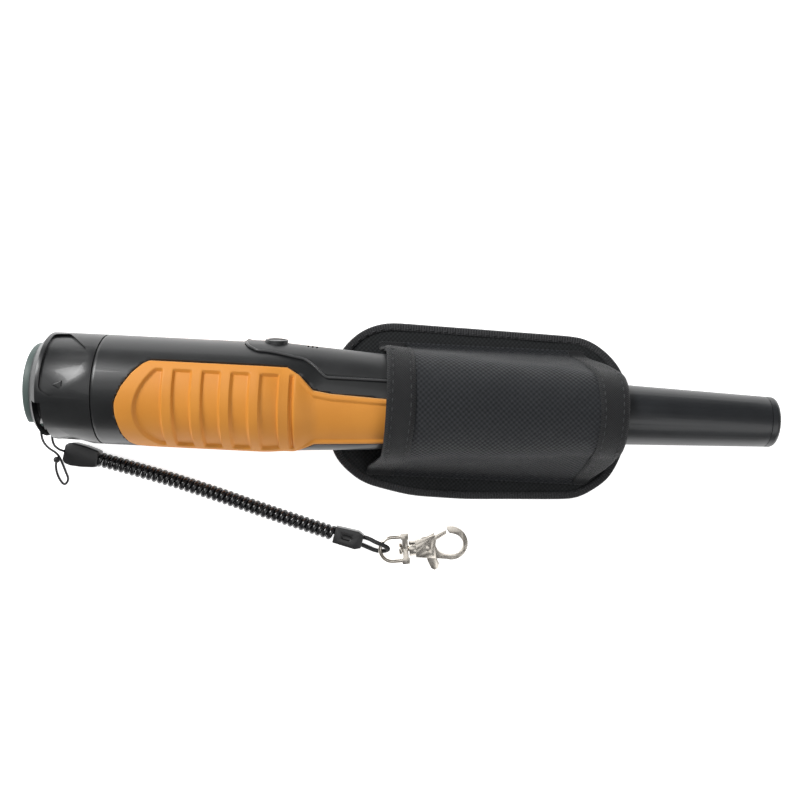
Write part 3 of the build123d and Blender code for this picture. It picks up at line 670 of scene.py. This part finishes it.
def rounded(line, rounds):
    for _ in range(rounds):
        line = [line[0]] + [((a[0] + 2 * b[0] + c[0]) / 4, (a[1] + 2 * b[1] + c[1]) / 4)
                            for a, b, c in zip(line, line[1:], line[2:])] + [line[-1]]
    return line


archRows = 150
archCache = {}


def archAt(x, grow):
    if (x, grow) not in archCache:
        archCache[(x, grow)] = rounded(resampled(archLine(x, grow), archRows), 8)
    return archCache[(x, grow)]


def archPoint(x, v, grow):
    below = int(x // 1)
    k = round((1 - v) * archRows)
    (y0, z0), (y1, z1) = archAt(below, grow)[k], archAt(below + 1, grow)[k]
    share = x - below
    return y0 + (y1 - y0) * share, z0 + (z1 - z0) * share


def edgeAt(edge, v):
    return eased(holster[edge], v, 0.06)


def crumple(x, v, amount):
    place = Vector((x * 0.055, v * 5.2, 1.7))
    return noise.noise(place) * amount + noise.noise(place * 2.6) * amount * 0.4


def clothPoint(x, v, grow, rim=9.0):
    y, z = archPoint(x, v, grow)
    free = step(0.1, 0.22, v) * (1 - step(0.78, 0.9, v))
    out = Vector((y - holster["middle"], z - bodyShape["axis"] * 0.6)).normalized()
    lift = (crumple(x, v, 0.5) + 0.15) * free - 0.45 * (1 - step(0, 0.7, rim))
    return (x, y + out.x * lift, z + out.y * lift)


def archGrid(name, first, last, grow, columns, reach=(0, 0)):
    def place(u, v):
        start, end = edgeAt(first, v) - reach[0], edgeAt(last, v) + reach[1]
        x = start + (end - start) * u
        return clothPoint(x, v, grow, min(x - start, end - x))

    def uv(u, v):
        start, end = edgeAt(first, v) - reach[0], edgeAt(last, v) + reach[1]
        return (start + (end - start) * u, v * holster["arc"])

    return sheetGrid(name, columns, archRows, place, uv)


pocket = archGrid("pocketCloth", "mouth", "tip", holster["pocketOut"], 150)
thicken(pocket, holster["cloth"])
dress(pocket, pocketNylon, "holster", ["holster_pocket"])
mouthHem = archGrid("mouthHemCloth", "mouth", "mouthHem", holster["hemOut"], 34, (0.4, 0))
thicken(mouthHem, holster["hemCloth"])
dress(mouthHem, hemNylon, "holster", ["mouth_hem"])
tipHem = archGrid("tipHemCloth", "tipHem", "tip", holster["hemOut"], 34, (0, 0.4))
thicken(tipHem, holster["hemCloth"])
dress(tipHem, hemNylon, "holster", ["tip_hem"])
print("pocket ready")


def evenly(points, gap):
    closed = points + [points[0]]
    lengths = [0.0]
    for a, b in zip(closed, closed[1:]):
        lengths.append(lengths[-1] + (b - a).length)
    count = int(lengths[-1] / gap)
    result, k = [], 1
    for n in range(count):
        distance = lengths[-1] * n / count
        while lengths[k] < distance:
            k += 1
        share = (distance - lengths[k - 1]) / max(1e-9, lengths[k] - lengths[k - 1])
        result.append(closed[k - 1].lerp(closed[k], share))
    ways = []
    for n in range(count):
        heading = (result[(n + 1) % count] - result[n - 1]).normalized()
        ways.append(Vector((heading.y, -heading.x)))
    return result, ways, lengths[-1]


outline, _, _ = evenly([Vector(place) for place in holster["outline"]], 0.8)
for _ in range(36):
    outline = [(outline[k - 1] + outline[k] * 2 + outline[(k + 1) % len(outline)]) / 4 for k in range(len(outline))]
edgePoints, edgeWays, edgeLength = evenly(outline, 0.8)
tapeSection = [(2.6, 3.75), (2.5, 3.95), (1.2, 4.15), (0.35, 4.0), (0.0, 3.3), (-0.05, 2.6), (0.0, 1.8), (0.35, 1.2),
               (1.2, 1.05), (2.5, 1.25), (2.6, 1.5)]


def tapePoint(u, v):
    k = round(u * len(edgePoints)) % len(edgePoints)
    inward, high = tapeSection[round(v * (len(tapeSection) - 1))]
    place = edgePoints[k] + edgeWays[k] * (inward - 0.1)
    wave = 0.12 * sin(k * 0.21) + 0.1 * noise.noise(Vector((k * 0.05, v * 3, 4)))
    return (place.x, place.y, high + (wave if v < 0.5 else 0))


binding = sheetGrid("edgeTape", len(edgePoints), len(tapeSection) - 1, tapePoint,
                    lambda u, v: (u * edgeLength, v * 9))
outwardNormals(binding)
thicken(binding, 0.3)
finishMesh(binding, 60)
dress(binding, tapeBlack, "holster", ["holster_binding"])


def backPoint(u, v):
    k = round(u * len(edgePoints)) % len(edgePoints)
    share = 1 - abs(2 * v - 1)
    share = share ** 0.7
    centre = Vector((27.0, holster["middle"]))
    edge = edgePoints[k] + edgeWays[k] * 0.8
    place = centre.lerp(edge, share)
    puff = 0.12 * noise.noise(Vector((place.x * 0.12, place.y * 0.12, 2))) * (1 - share ** 6)
    top = v < 0.5
    high = holster["backTop"] + 0.1 - 0.35 * share ** 8 + puff if top else holster["backLow"] + 0.15 * share ** 8
    return (place.x, place.y, high)


def backMap(u, v):
    x, y, _ = backPoint(u, v)
    return (x, y)


back = sheetGrid("backPad", len(edgePoints), 60, backPoint, backMap)
outwardNormals(back)
finishMesh(back, 40)
dress(back, backNylon, "holster", ["holster_back"])
print("back and binding ready")

stitch = {"length": 1.7, "gap": 0.7, "thick": 0.42}


def stitchLine(name, lines):
    clearSelection()
    bpy.ops.mesh.primitive_uv_sphere_add(segments=6, ring_count=4, radius=0.5)
    bead = bpy.context.object
    beadPoints = [v.co.copy() for v in bead.data.vertices]
    beadFaces = [tuple(p.vertices) for p in bead.data.polygons]
    bpy.data.objects.remove(bead)
    points, faces = [], []
    for line in lines:
        travelled = 0.0
        for a, b in zip(line, line[1:]):
            a, b = Vector(a), Vector(b)
            span = (b - a).length
            travelled += span
            if travelled < stitch["length"] + stitch["gap"] or span == 0:
                continue
            travelled = 0.0
            heading = (b - a).normalized()
            turn = heading.to_track_quat("X", "Z").to_matrix()
            first = len(points)
            for co in beadPoints:
                local = Vector((co.x * stitch["length"], co.y * stitch["thick"], co.z * stitch["thick"]))
                points.append((b + turn @ local) * mm)
            faces += [tuple(index + first for index in face) for face in beadFaces]
    mesh = bpy.data.meshes.new(name)
    mesh.from_pydata(points, [], faces)
    item = bpy.data.objects.new(name, mesh)
    bpy.context.scene.collection.objects.link(item)
    finishMesh(item, 80)
    dress(item, threadBlack, "holster")
    return item


def archSeam(edge, offset, low=0.04, high=0.96, count=170):
    line = []
    for n in range(count + 1):
        v = low + (high - low) * n / count
        line.append(clothPoint(edgeAt(edge, v) + offset, v, holster["hemStitchOut"]))
    return line


def footSeam(v):
    start, end = edgeAt("mouth", v) + 2, edgeAt("tip", v) - 2
    return [clothPoint(start + (end - start) * k / 110, v, holster["footStitchOut"])
            for k in range(111)]


stitchLine("hemStitches", [
    archSeam("mouthHem", -1.1), archSeam("tipHem", 1.1), archSeam("mouth", 1.2), archSeam("tip", -1.2)])
stitchLine("footStitches", [footSeam(0.022), footSeam(0.978)])
stitchLine("tapeStitches", [[(p.x + w.x * 1.8, p.y + w.y * 1.8, 4.2) for p, w in zip(edgePoints, edgeWays)]])
print("stitches ready")
